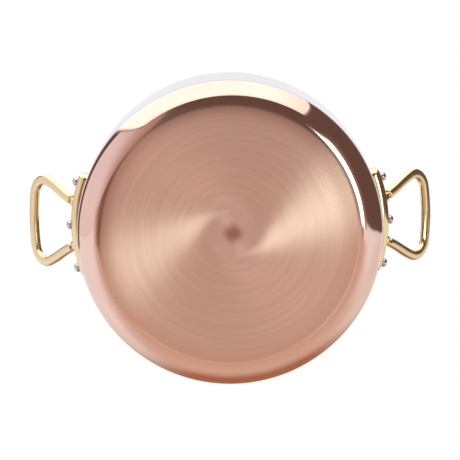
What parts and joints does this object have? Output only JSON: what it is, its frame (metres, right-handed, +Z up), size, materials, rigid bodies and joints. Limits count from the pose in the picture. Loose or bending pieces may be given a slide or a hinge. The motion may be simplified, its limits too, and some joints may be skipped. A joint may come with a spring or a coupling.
{
  "type": "stew pan",
  "caption": "Round deep cooking pan of lined copper with a flat base, a rounded corner and a riveted brass loop handle on each side.",
  "frame": {"origin": "centre of the flat base, where the pan stands", "axes": "+Z up along the pan's axis of rotation; the two handles lie at +X and -X; front is -Y"},
  "size_m": [0.3856, 0.28, 0.18],
  "materials": {
    "copper": "circular brushing on the base, polished on the corner and the wall",
    "lining": "fine circular brushing",
    "brass": "cast and polished",
    "rivet_steel": "satin"
  },
  "bodies": {
    "root": {"copper_body": "copper", "steel_lining": "lining", "handle_right": "brass", "handle_left": "brass", "rivet_right_front": "rivet_steel", "rivet_right_middle": "rivet_steel", "rivet_right_back": "rivet_steel", "rivet_left_front": "rivet_steel", "rivet_left_middle": "rivet_steel", "rivet_left_back": "rivet_steel"}
  },
  "joints": []
}
